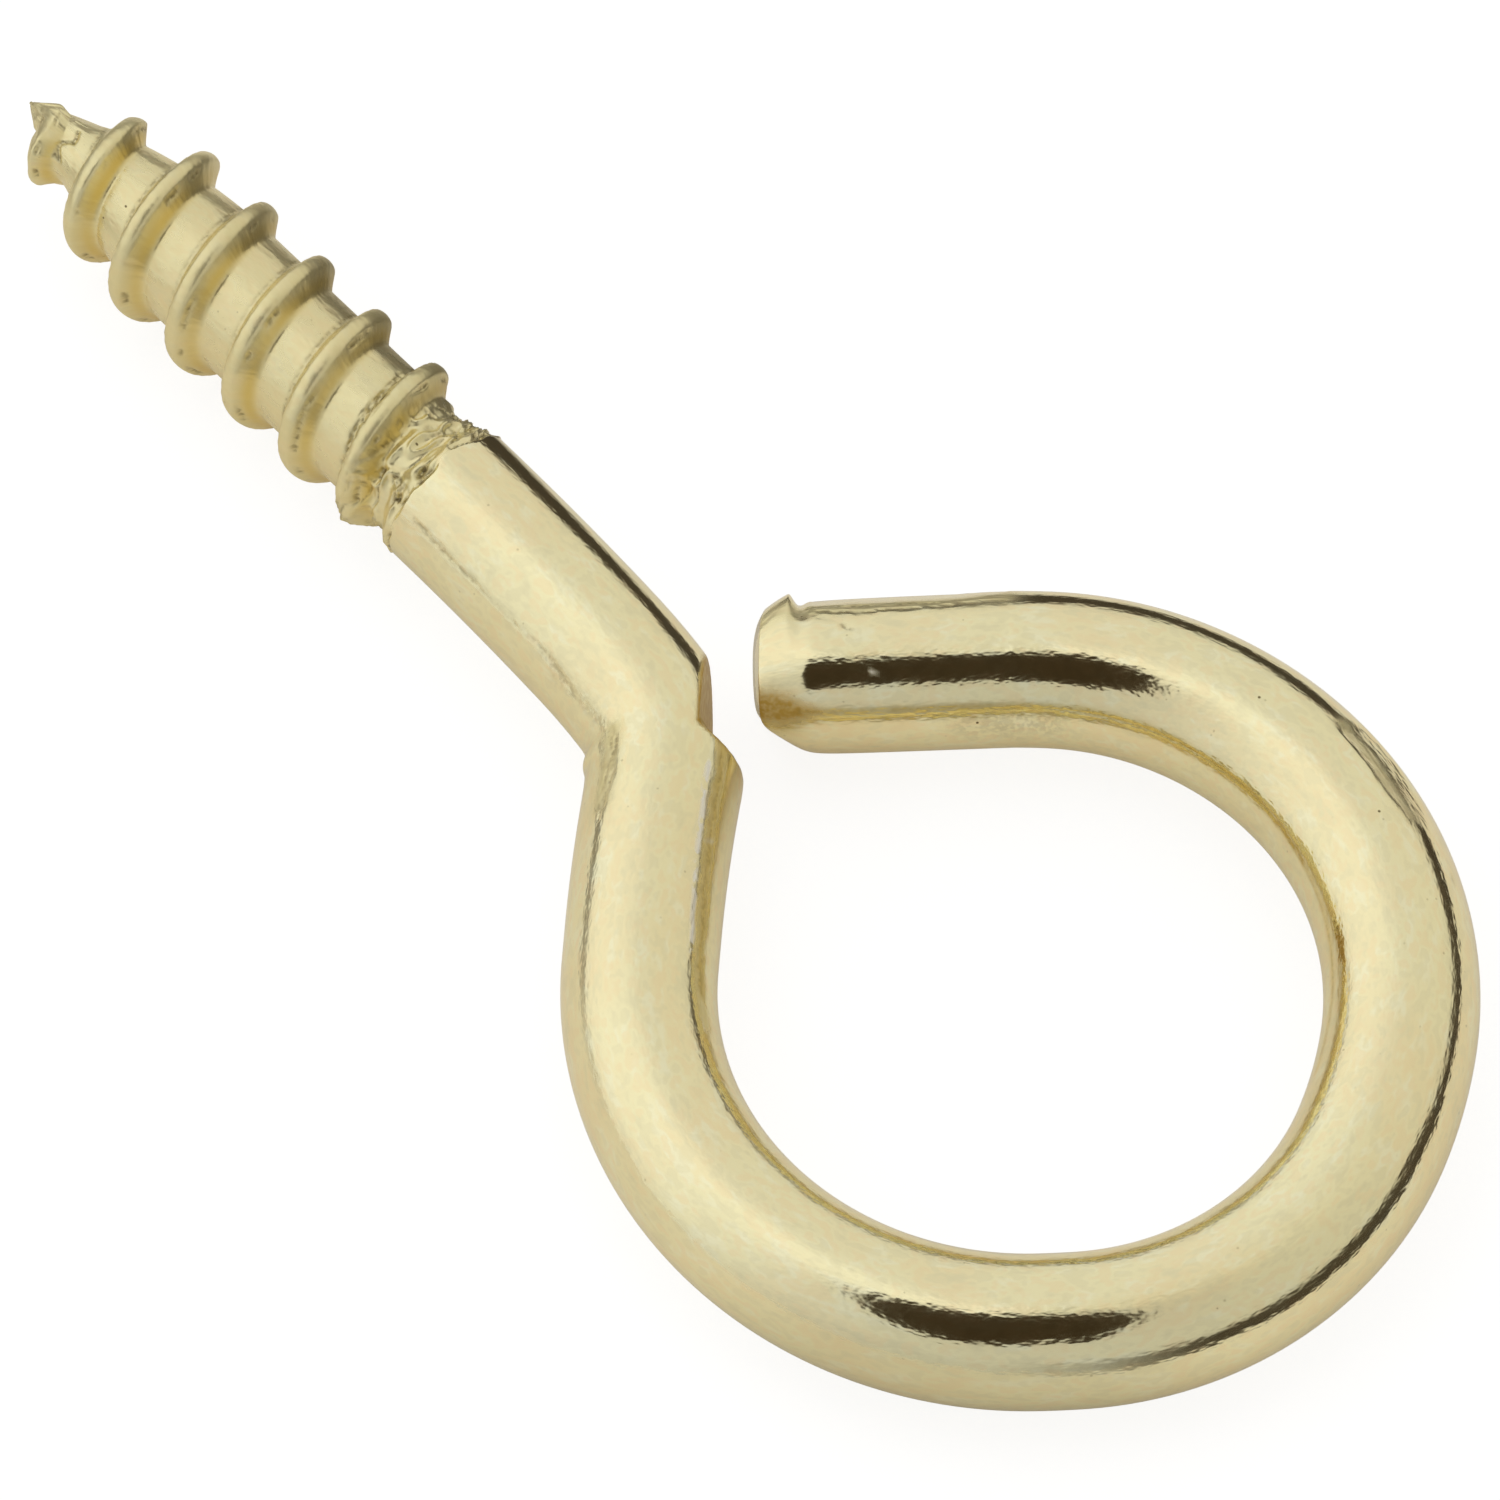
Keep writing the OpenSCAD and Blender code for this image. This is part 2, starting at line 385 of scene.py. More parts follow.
@dataclass
class WoodThread:
    """The helical ridge, its root, and the gimlet point that both narrow to."""

    wire_r: float
    length: float = 13.4
    pitch: float = 1.84
    ridge_rise: float = 0.27
    root_sink: float = 0.19
    ridge_point_len: float = 4.8
    root_point_len: float = 6.2
    tip_r: float = 0.03
    crest_half: float = 0.17
    crown: float = 0.08
    flank_eye: float = 0.36
    flank_tip: float = 0.2
    phase: float = 0.345
    run_out: float = 0.5
    stub_r: float = 0.33
    stub_len: float = 0.5
    stub_power: float = 0.8
    flank_power: float = 1.15
    ridge_start: float = 0.25
    ridge_growth: float = 1.6
    hand: Hand = Hand.RIGHT

    def place(self, x: Array, turn: Array) -> Array:
        """How far each point is from the ridge's crest along the axis, towards the point.

        Args:
            x: distance from the thread's base towards its point.
            turn: turns about the axis.
        Returns:
            Millimetres, from minus to plus half a pitch.
        """
        share = x / self.pitch + self.phase - self.hand.value * turn
        return (share - np.round(share)) * self.pitch

    def ridge(self, place: Array) -> Array:
        """The ridge's height, from 0 to 1: a slightly crowned crest between two flanks.

        A flank falls from its crest edge nearly straight, as a low power of what is left of
        its width. The eye's side is the longer one.

        Args:
            place: distance from the crest along the axis, towards the point.
        Returns:
            The share of the ridge's full height.
        """
        eye_side = place < 0.0
        flank = np.where(eye_side, self.flank_eye, self.flank_tip)
        left = np.clip(1.0 - (np.abs(place) - self.crest_half) / flank, 0.0, 1.0)
        fall = left**self.flank_power
        across = np.clip(np.abs(place) / self.crest_half, 0.0, 1.0)
        return fall * (1.0 - self.crown * across**2)

    def ogive(self, x: Array, radius: Array, taper: float) -> Array:
        """A full radius that narrows along a parabola, over a length of taper, to the point."""
        return radius * (1.0 - (np.clip(x - self.length + taper, 0.0, None) / taper) ** 2)

    def radius(self, x: Array, turn: Array) -> Array:
        """The thread's radius: the root's, lifted by the ridge towards the crest's.

        The root ends in a short stub, whose radius is a power of the distance from the point.
        The ridge starts a share of a pitch in, and grows over a number of run-outs.

        Args:
            x: distance from the thread's base towards its point.
            turn: turns about the axis.
        Returns:
            The radius at each point.
        """
        sunk = self.root_sink * ease(x, 0.0, self.run_out)
        root = self.ogive(x, self.wire_r - sunk, self.root_point_len)
        left = np.clip((self.length - x) / self.stub_len, 0.0, 1.0)
        stub = self.stub_r * left**self.stub_power
        root = np.where(x < self.length - self.stub_len, np.maximum(root, self.stub_r), stub)
        crest = self.ogive(x, np.full_like(x, self.wire_r + self.ridge_rise), self.ridge_point_len)
        start = self.ridge_start * self.pitch
        grown = ease(x, start, start + self.ridge_growth * self.run_out)
        lift = np.clip(crest - root, 0.0, None) * grown
        return np.maximum(root + lift * self.ridge(self.place(x, turn)), self.tip_r)


@dataclass(frozen=True)
class Face:
    """A plane that shapes the wire's end, in the blade's axes.

    Its normal points out of the metal. It lies away from where the wire's axis meets the slot
    by a shift, in millimetres, and a reach, in wire radii. Its edge is rounded.
    """

    normal: Triple
    shift: Triple
    reach: Triple
    edge: float


@dataclass
class CutOff:
    """What the cut-off blade did: the bite in the neck, and the wire's sheared end.

    The blade's axes have their origin at the centre of the neck's bend. The first runs across
    the slot from the neck to the end, the second along the slot out of the eye, the third up.
    The end's faces are the blade's wall, the undercut inner corner, and two worn edges.
    """

    path: WirePath
    slot_w: float = 1.12
    nick_depth: float = 0.83
    nick_back: float = 0.16
    nick_v: float = 0.26
    nick_z: float = 1.47
    nick_wall: Triple = (1.0, -0.05, 0.1)
    nick_lip: Triple = (0.6, 1.0, 0.0)
    nick_edge: float = 0.05
    nick_brown: Pair = (-0.1, 0.02)
    nick_fade: float = 0.5
    skew: float = 2.3
    faces: tuple[Face, ...] = (
        Face((-1.0, -0.07, 0.0), (-0.13, 0.0, 0.0), (0.0, 0.0, 0.0), 0.1),
        Face((-0.7, -0.85, -0.531), (0.0, 0.0, 0.0), (0.0, -0.911, 0.411), 0.22),
        Face((-1.0, 0.85, 0.45), (-0.14, -0.3, 0.3), (0.0, 1.0, 0.0), 0.5),
        Face((-1.0, 0.0, 1.0), (-0.1, 0.0, -0.32), (0.0, 0.0, 1.0), 0.2),
    )
    brown_run: Pair = (1.9, 0.3)
    brown_side: float = 36.0
    brown_line: float = -0.04
    brown_half: Pair = (0.08, 0.28)
    brown_gain: float = 1.6
    brown_inner: float = 0.2

    def __post_init__(self) -> None:
        """Sets the blade's axes and the two walls of its slot."""
        neck, tail = self.path.pose[2], self.path.pose[-2]
        angle = tail[2] + math.pi - math.radians(self.skew)
        self.across = np.array([math.cos(angle), math.sin(angle)])
        self.along = np.array([-math.sin(angle), math.cos(angle)])
        radius = self.path.neck_r
        self.centre = neck[:2] + radius * np.array([math.sin(neck[2]), -math.cos(neck[2])])
        self.nick_u = radius + self.path.wire_r - self.nick_depth
        self.end_u = self.nick_u + self.slot_w
        start = tail[:2] - self.centre
        run = start @ self.across - self.end_u
        lean = angle - math.pi - tail[2]
        self.edge_v = start @ self.along + run * math.tan(lean) - self.path.wire_r

    def seen(self, points: Array) -> Array:
        """Points in the blade's axes."""
        flat = points[..., :2] - self.centre
        return np.stack([flat @ self.across, flat @ self.along, points[..., 2]], axis=-1)

    def back(self, local: Array) -> Array:
        """Points of the blade's axes, back in the wire's."""
        flat = local[..., :1] * self.across + local[..., 1:2] * self.along + self.centre
        return np.concatenate([flat, local[..., 2:]], axis=-1)

    @staticmethod
    def soft_depth(depth: Array, edge: float) -> Array:
        """How far a point moves out of the blade's way, with the corner rounded by edge.

        It is half the sum of the depth and the root of depth squared plus edge squared.
        """
        return 0.5 * (depth + np.sqrt(depth * depth + edge * edge))

    def plane_off(self, local: Array, face: Face, middle: Array) -> Array:
        """Moves what stands beyond a plane back onto it.

        Args:
            local: points in the blade's axes.
            face: the plane.
            middle: where the wire's axis meets the slot.
        Returns:
            The moved points.
        """
        out = np.array(face.normal) / np.linalg.norm(face.normal)
        through = middle + np.array(face.shift) + np.array(face.reach) * self.path.wire_r
        return local - self.soft_depth((local - through) @ out, face.edge)[..., None] * out

    def bite(self, points: Array) -> tuple[Array, Array]:
        """Cuts the nick out of the neck's outer side.

        Where a point is past both the blade's wall and the sloping lip under it, it moves
        back by the lesser of the two depths, square to that face.

        Args:
            points: places in the wire's axes.
        Returns:
            The points, and how brown the bare steel of the nick is, from 0 to 1.
        """
        local = self.seen(points)
        wall = np.array(self.nick_wall) / np.linalg.norm(self.nick_wall)
        lip = np.array(self.nick_lip) / np.linalg.norm(self.nick_lip)
        corner = np.array([self.nick_u - self.nick_back, self.nick_v, self.nick_z])
        in_wall, in_lip = (local - corner) @ wall, (local - corner) @ lip
        by_wall = in_wall < in_lip
        depth = np.minimum(in_wall, in_lip)
        out = np.where(by_wall[..., None], wall, lip)
        fading = hump(local[..., 0], self.nick_u, self.nick_fade)
        bare = ease(depth, *self.nick_brown) * np.where(by_wall, 1.0, fading)
        moved = local - self.soft_depth(depth, self.nick_edge)[..., None] * out
        return self.back(moved), bare

    def shear(self, points: Array) -> tuple[Array, Array]:
        """Shapes the wire's end, and browns a wedge on its inner side.

        The wedge narrows away from the wall: it is a bell of the height over a line part of
        the way up the wire's side.

        Args:
            points: places in the wire's axes.
        Returns:
            The points, and how brown the wedge is, from 0 to 1.
        """
        local = self.seen(points)
        axis_v = self.edge_v + self.path.wire_r
        for face in self.faces:
            local = self.plane_off(local, face, np.array([self.end_u, axis_v, 0.0]))
        reach, full = self.brown_run
        inward = ease(local[..., 0], self.end_u + reach, self.end_u + full)
        side = math.radians(self.brown_side)
        height = local[..., 2] * math.cos(side) + (local[..., 1] - axis_v) * math.sin(side)
        half = self.brown_half[0] + self.brown_half[1] * inward
        bare = self.brown_gain * inward * hump(height, self.brown_line, half)
        inner = ease(local[..., 1], axis_v + self.brown_inner, axis_v - self.brown_inner)
        bare = np.clip(bare, 0.0, 1.0) * inner
        return self.back(local), bare


@dataclass(frozen=True)
class Cloud:
    """A cloudy pattern: its cells to the millimetre along each axis, and how fine it is."""

    cells: Triple
    scale: float = 1.0
    detail: float = 1.0
    roughness: float = 0.6


@dataclass(frozen=True)
class BrightBrass:
    """Thin brass plating, polished but not perfect: soft mottling, specks, dirt and stains, with
    painted shade, painted gold reflections and painted glints.
    """

    colour: Triple = (0.95, 0.875, 0.53)
    rosy: Triple = (0.95, 0.84, 0.5)
    cool: Triple = (0.96, 0.92, 0.62)
    peach: Triple = (0.95, 0.8, 0.47)
    grey: Triple = (0.84, 0.77, 0.48)
    stain: Triple = (0.54, 0.34, 0.07)
    soil_and_shade: Triple = (0.13, 0.085, 0.025)
    painted_gold_tint: Triple = (0.8, 0.61, 0.19)
    speck_and_glint_white: Triple = (1.0, 0.97, 0.86)
    patina: Triple = (0.84, 0.73, 0.37)
    polish: float = 0.11
    satin: float = 0.42
    soft: Cloud = Cloud((0.55, 0.55, 0.3))
    clouds: Cloud = Cloud((1.4, 1.4, 0.6), 1.7, 2.0, 0.7)
    flecks: Cloud = Cloud((4.0, 4.0, 2.6))
    smudges: Cloud = Cloud((2.0, 2.0, 1.0), detail=0.0, roughness=0.5)
    breaks: Cloud = Cloud((7.0, 7.0, 7.0))
    hairs: Cloud = Cloud((9.0, 9.0, 4.0))
    waves: Cloud = Cloud((1.6, 1.6, 0.9), detail=0.0, roughness=0.5)

    def material(self, name: str) -> bpy.types.Material:
        """Builds the plating's nodes, which read the skin's own attributes.

        The colour is mottled, then tinted by each attribute in turn. Dirt and painted shade,
        stain, dullness, white specks and painted glints take the metal's gloss away. The height is
        in millimetres.

        Args:
            name: what the material is called.
        Returns:
            The finished material.
        """
        made = bpy.data.materials.new(name)
        made.use_nodes = True
        sheet = NodeSheet(made.node_tree)
        ramp, times, plus, mix = sheet.ramp, sheet.times, sheet.plus, sheet.mix
        shader = sheet.add("ShaderNodeBsdfPrincipled", Specular_IOR_Level=0.12)
        grain = sheet.attribute("grain", "Vector")
        worn, stained, dirty_and_shaded, gilt, pale = (
            sheet.attribute(mark, "Fac") for mark in ("worn", "stain", "dirt", "gilt", "pale")
        )
        soft = sheet.noise(grain, self.soft)
        clouds = sheet.noise(grain, self.clouds)
        flecks = sheet.noise(grain, self.flecks)
        broken = sheet.noise(grain, self.breaks)
        colour = mix(ramp(soft, 0.42, 0.62), self.colour, self.rosy)
        for pattern, start, stop, share, tint in (
            (clouds, 0.5, 0.66, 0.7, self.cool),
            (clouds, 0.45, 0.3, 0.6, self.grey),
            (flecks, 0.52, 0.64, 0.55, self.peach),
            (flecks, 0.46, 0.36, 0.4, self.grey),
        ):
            colour = mix(times(ramp(pattern, start, stop), share), colour, tint)
        tarnish = plus(times(ramp(clouds, 0.35, 0.65), 0.5), 0.5)
        colour = mix(times(worn, tarnish), colour, self.patina)
        # Painted gold reflection: the thread's flanks and a few bands are tinted gold as if they
        # reflected the brass beside them.
        colour = mix(gilt, colour, self.painted_gold_tint)
        # The pale layer paints white specks, and painted glints: a pale dotted line standing in
        # for highlights.
        dotted = times(pale, ramp(flecks, 0.38, 0.5))
        colour = mix(dotted, colour, self.speck_and_glint_white)
        large, small = sheet.specks(grain, 1.15, 0.05), sheet.specks(grain, 2.3, 0.09)
        speck = sheet.larger(large, times(small, 0.3))
        dark_patch = ramp(sheet.noise(grain, self.smudges), 0.54, 0.6)
        # This layer also carries painted shade, darkened with the same dark brown as real grime.
        soiled_and_shaded = times(dirty_and_shaded, plus(times(ramp(broken, 0.38, 0.6), 0.75), 0.25))
        soiled_and_shaded = sheet.larger(soiled_and_shaded, times(times(speck, dark_patch), 0.85))
        rusty = times(stained, plus(times(ramp(broken, 0.3, 0.65), 0.3), 0.7))
        # What loses the metal's gloss includes the painted glints.
        bare = sheet.larger(times(rusty, 0.85), times(dotted, 0.85))
        bare = sheet.larger(bare, times(worn, 0.3))
        sheet.join(sheet.minus(1.0, bare), shader.inputs["Metallic"])
        colour = mix(rusty, colour, self.stain)
        colour = mix(soiled_and_shaded, colour, self.soil_and_shade)
        sheet.join(colour, shader.inputs["Base Color"])
        rough = plus(times(flecks, 0.06), self.polish - 0.03)
        dull = plus(plus(worn, times(stained, 0.6)), soiled_and_shaded)
        rough = plus(rough, times(dull, self.satin - self.polish))
        sheet.join(rough, shader.inputs["Roughness"])
        hairs = times(sheet.noise(grain, self.hairs), 0.006)
        height = plus(hairs, times(sheet.noise(grain, self.waves), 0.012))
        pitted = times(times(flecks, worn), 0.03)
        height = sheet.minus(sheet.minus(height, times(dirty_and_shaded, 0.02)), pitted)
        sheet.join(sheet.bump(height), shader.inputs["Normal"])
        sheet.finish(shader.outputs[0])
        return made


class NodeSheet:
    """A shader's node sheet, with one short method for each step that a finish needs."""

    def __init__(self, tree: bpy.types.NodeTree) -> None:
        """Clears the sheet."""
        self.tree = tree
        tree.nodes.clear()

    def add(self, kind: str, **values: object) -> bpy.types.Node:
        """Adds a node and sets its named sockets."""
        node = self.tree.nodes.new(kind)
        for socket, value in values.items():
            node.inputs[socket.replace("_", " ")].default_value = value
        return node

    def join(self, source: object, socket: Socket) -> None:
        """Links a socket to source, or sets it where source is a plain value."""
        if isinstance(source, Socket):
            self.tree.links.new(source, socket)
        elif isinstance(source, tuple) and len(source) == 3 and socket.type == "RGBA":
            socket.default_value = (*source, 1.0)
        else:
            socket.default_value = source

    def math(self, kind: str, *terms: object) -> Socket:
        """A Math node's result."""
        node = self.add("ShaderNodeMath")
        node.operation = kind
        for term, socket in zip(terms, node.inputs):
            self.join(term, socket)
        return node.outputs[0]

    def plus(self, a: object, b: object) -> Socket:
        """The sum of two values."""
        return self.math("ADD", a, b)

    def minus(self, a: object, b: object) -> Socket:
        """The first value less the second."""
        return self.math("SUBTRACT", a, b)

    def times(self, a: object, b: object) -> Socket:
        """The product of two values."""
        return self.math("MULTIPLY", a, b)

    def larger(self, a: object, b: object) -> Socket:
        """The larger of two values."""
        return self.math("MAXIMUM", a, b)

    def vector(self, kind: str, *terms: object) -> bpy.types.Node:
        """A Vector Math node."""
        node = self.add("ShaderNodeVectorMath")
        node.operation = kind
        for term, socket in zip(terms, node.inputs):
            self.join(term, socket)
        return node

    def dot(self, a: object, b: tuple) -> Socket:
        """The dot product of a direction with a fixed one."""
        return self.vector("DOT_PRODUCT", a, b).outputs["Value"]

    def scaled(self, source: object, scale: tuple) -> Socket:
        """A vector, stretched along each axis."""
        return self.vector("MULTIPLY", source, scale).outputs["Vector"]

    def attribute(self, name: str, output: str) -> Socket:
        """Reads one of the skin's own attributes."""
        node = self.add("ShaderNodeAttribute")
        node.attribute_name = name
        return node.outputs[output]

    def noise(self, source: object, cloud: Cloud) -> Socket:
        """Cloudy noise from 0 to 1."""
        node = self.add("ShaderNodeTexNoise", Scale=cloud.scale, Detail=cloud.detail)
        node.inputs["Roughness"].default_value = cloud.roughness
        self.join(self.scaled(source, cloud.cells), node.inputs["Vector"])
        return node.outputs[0]

    def specks(self, source: object, scale: float, size: float) -> Socket:
        """Small round dots, 1 at their middles, at random places."""
        node = self.add("ShaderNodeTexVoronoi", Scale=scale)
        self.join(source, node.inputs["Vector"])
        return self.ramp(node.outputs["Distance"], size, size * 0.5)

    def ramp(self, source: object, start: float, stop: float) -> Socket:
        """A smooth step from 0 at start to 1 at stop."""
        node = self.add("ShaderNodeMapRange")
        node.interpolation_type = "SMOOTHSTEP"
        rising = start < stop
        self.join(source, node.inputs["Value"])
        node.inputs["From Min"].default_value = start if rising else stop
        node.inputs["From Max"].default_value = stop if rising else start
        node.inputs["To Min"].default_value = 0.0 if rising else 1.0
        node.inputs["To Max"].default_value = 1.0 if rising else 0.0
        return node.outputs["Result"]

    def mix(self, share: object, a: object, b: object) -> Socket:
        """A colour between a and b."""
        node = self.add("ShaderNodeMix")
        node.data_type = "RGBA"
        self.join(share, node.inputs["Factor"])
        for term, name in ((a, "A"), (b, "B")):
            socket = [s for s in node.inputs if s.name == name and s.type == "RGBA"][0]
            self.join(term, socket)
        return [s for s in node.outputs if s.type == "RGBA"][0]

    def bump(self, height: object) -> Socket:
        """A normal bent by a height in millimetres."""
        node = self.add("ShaderNodeBump", Strength=1.0, Distance=MM)
        self.join(height, node.inputs["Height"])
        return node.outputs["Normal"]

    def both(self, first: bpy.types.Node, second: bpy.types.Node) -> Socket:
        """Two shaders, added."""
        node = self.add("ShaderNodeAddShader")
        for shader, socket in zip((first, second), node.inputs):
            self.join(shader.outputs[0], socket)
        return node.outputs[0]

    def finish(self, shader: Socket, kind: str = "ShaderNodeOutputMaterial") -> None:
        """Ends the sheet in its output."""
        self.join(shader, self.add(kind).inputs["Surface"])


NECK_FOLDS = (
    Mark((7.6, 139.0), (8.5, 129.0), 0.06, 0.006, 0.15, 0.03),
    Mark((8.5, 129.0), (9.6, 127.5), 0.035, 0.008, 0.55, 0.02),
    Mark((9.6, 127.5), (10.8, 134.0), 0.035, 0.008, 0.55, 0.02),
    Mark((8.2, 136.0), (9.2, 131.5), 0.04, 0.005, 0.45, 0.03),
    Mark((9.2, 131.5), (10.5, 136.0), 0.04, 0.005, 0.45, 0.03),
    Mark((8.0, 146.0), (9.4, 138.0), 0.08, 0.006, 0.15, 0.03),
    Mark((5.6, 147.0), (7.4, 143.0), 0.2, 0.006, 0.2, 0.1),
    Mark((8.2, 132.0), (10.3, 134.0), 0.3, 0.0, 0.9, 0.05, Tint.DULL),
)
SHANK_SEAM = (
    Mark((0.56, 142.0), (2.66, 143.0), 0.05, 0.004, 0.5),
    Mark((2.66, 143.0), (5.05, 142.0), 0.035, 0.004, 0.3),
    Mark((5.05, 142.0), (6.3, 147.0), 0.1, 0.005, 0.4),
)
DIE_LINES = (
    Mark((59.6, 122.0), (54.0, 128.0), 0.35, 0.0, 0.8, 0.1, Tint.DULL),
    Mark((58.1, 120.0), (57.3, 115.0), 0.035, 0.02, 0.65),
    Mark((57.3, 115.0), (55.2, 119.5), 0.03, 0.02, 0.65),
    Mark((55.2, 119.5), (53.9, 126.0), 0.03, 0.02, 0.65),
    Mark((58.4, 127.0), (57.2, 123.0), 0.03, 0.02, 0.65),
    Mark((57.2, 123.0), (55.0, 125.0), 0.03, 0.02, 0.65),
    Mark((58.15, 112.0), (57.45, 100.0), 0.035, 0.012, 0.2),
    Mark((57.6, 101.0), (57.45, 97.0), 0.05, 0.03, 0.7),
    Mark((46.5, 126.0), (44.2, 126.0), 0.25, 0.0, 0.8, 0.1, Tint.DULL),
    Mark((46.6, 122.0), (46.35, 132.0), 0.035, 0.02, 0.3),
    Mark((46.2, 129.0), (44.0, 123.5), 0.03, 0.01, 0.3),
    Mark((45.9, 133.0), (44.2, 128.0), 0.03, 0.01, 0.25),
)
POINT_SPLITS = (
    Mark((-11.84, 88.0), (-11.72, 112.0), 0.05, 0.05, 0.7),
    Mark((-11.72, 112.0), (-11.95, 128.0), 0.05, 0.05, 0.7),
    Mark((-11.95, 128.0), (-11.7, 150.0), 0.05, 0.04, 0.6),
    Mark((-12.75, 118.0), (-12.7, 128.0), 0.07, 0.05, 0.6),
    Mark((-12.2, 140.0), (-12.2, 200.0), 0.42, -0.32, 0.0),
    Mark((-12.95, 40.0), (-12.7, 60.0), 0.3, 0.13, 0.0),
)
CAVITIES = (
    Mark((-0.08, 108.0), (-0.12, 114.0), 0.1, 0.12, 0.9),
    Mark((-0.16, 139.0), (-0.2, 147.0), 0.09, 0.12, 0.9),
)
KNOCKS_AND_PAINTED_LIGHT = (
    Mark((42.95, 143.0), (42.6, 148.0), 0.04, 0.02, 0.3),
    Mark((56.98, 63.0), (56.95, 62.0), 0.055, 0.0, 1.0, 0.0, Tint.PALE),
    Mark((11.0, 46.0), (10.9, 38.0), 0.06, 0.0, 0.4, 0.02, Tint.PALE),
    # Painted reflection: the next three marks paint a brown-gold band along the neck, the brass
    # reflecting itself.
    Mark((8.6, 43.0), (16.0, 39.0), 0.18, 0.0, 0.9, 0.05, Tint.DULL),
    Mark((8.7, 42.0), (15.0, 38.0), 0.1, 0.0, 0.75, 0.05, Tint.PAINTED_GOLD),
    Mark((8.9, 42.5), (15.0, 38.5), 0.07, 0.0, 0.3, 0.08),
    # Painted highlight: a raised pale dotted line of glints along the neck.
    Mark((9.1, 54.5), (13.8, 48.5), 0.065, -0.004, 1.0, 0.03, Tint.PALE),
    # Painted gold reflection in lines along the tail, each with a darker line beside it.
    Mark((59.0, 33.0), (46.5, 31.0), 0.1, 0.0, 0.7, 0.02, Tint.PAINTED_GOLD),
    Mark((58.6, 33.0), (47.0, 31.0), 0.06, 0.0, 0.22, 0.02),
    Mark((46.5, 31.0), (38.0, 27.0), 0.08, 0.0, 0.6, 0.02, Tint.PAINTED_GOLD),
    Mark((47.0, 31.0), (38.5, 27.0), 0.05, 0.0, 0.2, 0.02),
    Mark((54.9, 17.0), (53.0, 17.0), 0.45, 0.0, 0.22, 0.2),
)


